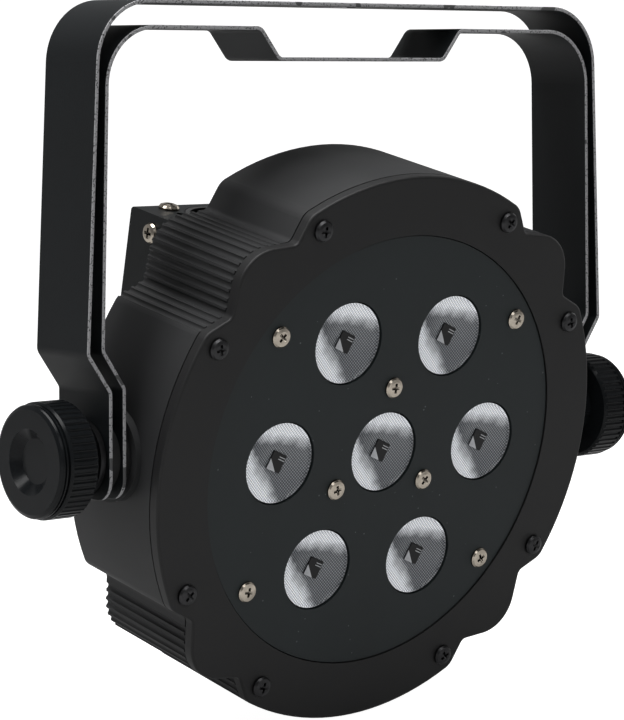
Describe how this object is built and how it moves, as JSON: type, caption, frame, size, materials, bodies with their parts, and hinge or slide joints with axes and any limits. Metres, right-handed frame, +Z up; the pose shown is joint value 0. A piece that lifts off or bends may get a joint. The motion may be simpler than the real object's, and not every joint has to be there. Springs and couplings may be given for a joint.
{
  "type": "led par can light",
  "caption": "Flat round LED stage light with a scalloped head that tilts between two side knobs in nested U brackets.",
  "frame": {"origin": "centre of the hanging hole in the outer bracket's top, at the middle of the strip's thickness", "axes": "+Z up along the hanging hole, +X along the pivot axis, to the viewer's right when the lamp is seen from its front, -Y the way the lamp faces"},
  "size_m": [0.197, 0.0942, 0.1875],
  "materials": {
    "bracket_paint": "fine-textured black powder coat",
    "housing_plastic": "smooth matt black",
    "bezel_plastic": "smooth matt black",
    "panel_paint": "matt black",
    "black_steel": "blackened, satin",
    "nickel_steel": "nickel plated, bright",
    "lens_acrylic": "clear moulding with a pebbled face",
    "holder_plastic": "black",
    "led_package": "satin",
    "white_board": "white solder mask",
    "zinc_steel": "zinc plated",
    "raw_aluminium": "extruded",
    "cable_sheath": "satin",
    "brass": "plain",
    "washer_rubber": "matt",
    "washer_nylon": "black nylon",
    "box_paint": "fine-textured black powder coat",
    "socket_metal": "black plated zinc",
    "latch_steel": "zinc plated",
    "socket_plastic": "moulded black",
    "fuse_glass": "clear",
    "green_board": "solder mask",
    "display_black": "moulded",
    "window_tint": "dark red tint",
    "button_plastic": "satin",
    "component": "moulded",
    "knob_plastic": "glossy black"
  },
  "bodies": {
    "outer_bracket": {"outer_bracket": "bracket_paint"},
    "inner_bracket": {"inner_bracket": "bracket_paint", "spacer_washers": "washer_nylon"},
    "head": {"bezel_screws": "black_steel", "board_screws": "nickel_steel", "box_screws": "nickel_steel", "control_board": "green_board", "display_module": "display_black", "display_window": "window_tint", "dmx_in_pins": "brass", "dmx_in_socket": "socket_metal", "dmx_out_socket": "socket_metal", "friction_washers": "washer_rubber", "front_bezel": "bezel_plastic", "front_panel": "panel_paint", "fuse_holder": "socket_plastic", "heat_sink": "raw_aluminium", "housing_shell": "housing_plastic", "inlet_pins": "brass", "led_board": "white_board", "led_cable": "cable_sheath", "led_emitters": "led_package", "lens_1": "lens_acrylic", "lens_2": "lens_acrylic", "lens_3": "lens_acrylic", "lens_4": "lens_acrylic", "lens_5": "lens_acrylic", "lens_6": "lens_acrylic", "lens_7": "lens_acrylic", "lens_holders": "holder_plastic", "loop_screws": "nickel_steel", "panel_screws": "nickel_steel", "panel_standoffs": "zinc_steel", "pivot_inserts": "brass", "power_board": "green_board", "power_board_screws": "nickel_steel", "power_components": "component", "power_inlet": "socket_plastic", "power_outlet": "socket_plastic", "rear_box": "box_paint", "rear_box_side_left": "box_paint", "rear_box_side_right": "box_paint", "safety_loop": "latch_steel", "side_screws": "nickel_steel", "sink_screws": "nickel_steel", "socket_screws": "nickel_steel"},
    "clamp_left": {"clamp_washer_left": "zinc_steel"},
    "clamp_right": {"clamp_washer_right": "zinc_steel"},
    "knob_left": {"knob_left": "knob_plastic", "stud_left": "zinc_steel"},
    "knob_right": {"knob_right": "knob_plastic", "stud_right": "zinc_steel"},
    "dmx_latch": {"dmx_latch": "latch_steel"},
    "fuse_cap": {"fuse_cap": "socket_plastic", "fuse": "fuse_glass"},
    "menu_button_1": {"menu_button_1": "button_plastic"},
    "menu_button_2": {"menu_button_2": "button_plastic"},
    "menu_button_3": {"menu_button_3": "button_plastic"},
    "menu_button_4": {"menu_button_4": "button_plastic"}
  },
  "joints": [
    {"name": "inner_bracket_swing", "type": "hinge", "parent": "outer_bracket", "child": "inner_bracket", "pos_m": [0, 0, -0.11128], "axis": [1, 0, 0], "range_deg": [-120, 120]},
    {"name": "head_tilt", "type": "hinge", "parent": "outer_bracket", "child": "head", "pos_m": [0, 0, -0.11128], "axis": [1, 0, 0], "range_deg": [-101.5, 78.5]},
    {"name": "left_clamp_travel", "type": "slide", "parent": "head", "child": "clamp_left", "axis": [-1, 0, 0], "range_m": [0, 0.00125]},
    {"name": "left_knob_turn", "type": "hinge", "parent": "clamp_left", "child": "knob_left", "pos_m": [0, 0, -0.11128], "axis": [-1, 0, 0], "range_deg": [0, 360.4]},
    {"name": "right_clamp_travel", "type": "slide", "parent": "head", "child": "clamp_right", "axis": [1, 0, 0], "range_m": [0, 0.00125]},
    {"name": "right_knob_turn", "type": "hinge", "parent": "clamp_right", "child": "knob_right", "pos_m": [0, 0, -0.11128], "axis": [1, 0, 0], "range_deg": [0, 360.4]},
    {"name": "menu_button_1_press", "type": "slide", "parent": "head", "child": "menu_button_1", "axis": [0, -0.9799, -0.1994], "range_m": [0, 0.0005], "stiffness_N_per_m": 1500},
    {"name": "menu_button_2_press", "type": "slide", "parent": "head", "child": "menu_button_2", "axis": [0, -0.9799, -0.1994], "range_m": [0, 0.0005], "stiffness_N_per_m": 1500},
    {"name": "menu_button_3_press", "type": "slide", "parent": "head", "child": "menu_button_3", "axis": [0, -0.9799, -0.1994], "range_m": [0, 0.0005], "stiffness_N_per_m": 1500},
    {"name": "menu_button_4_press", "type": "slide", "parent": "head", "child": "menu_button_4", "axis": [0, -0.9799, -0.1994], "range_m": [0, 0.0005], "stiffness_N_per_m": 1500},
    {"name": "dmx_latch_press", "type": "slide", "parent": "head", "child": "dmx_latch", "axis": [0, 0.1994, -0.9799], "range_m": [0, 0.0015], "stiffness_N_per_m": 800},
    {"name": "fuse_cap_turn", "type": "hinge", "parent": "head", "child": "fuse_cap", "pos_m": [0.0253, 0.05171, -0.10689], "axis": [0, 0.9799, 0.1994], "range_deg": [0, 90]}
  ],
  "couplings": [
    {"joint": "left_knob_turn", "follows": "left_clamp_travel", "rad_per_m": 5026.5},
    {"joint": "right_knob_turn", "follows": "right_clamp_travel", "rad_per_m": 5026.5}
  ]
}
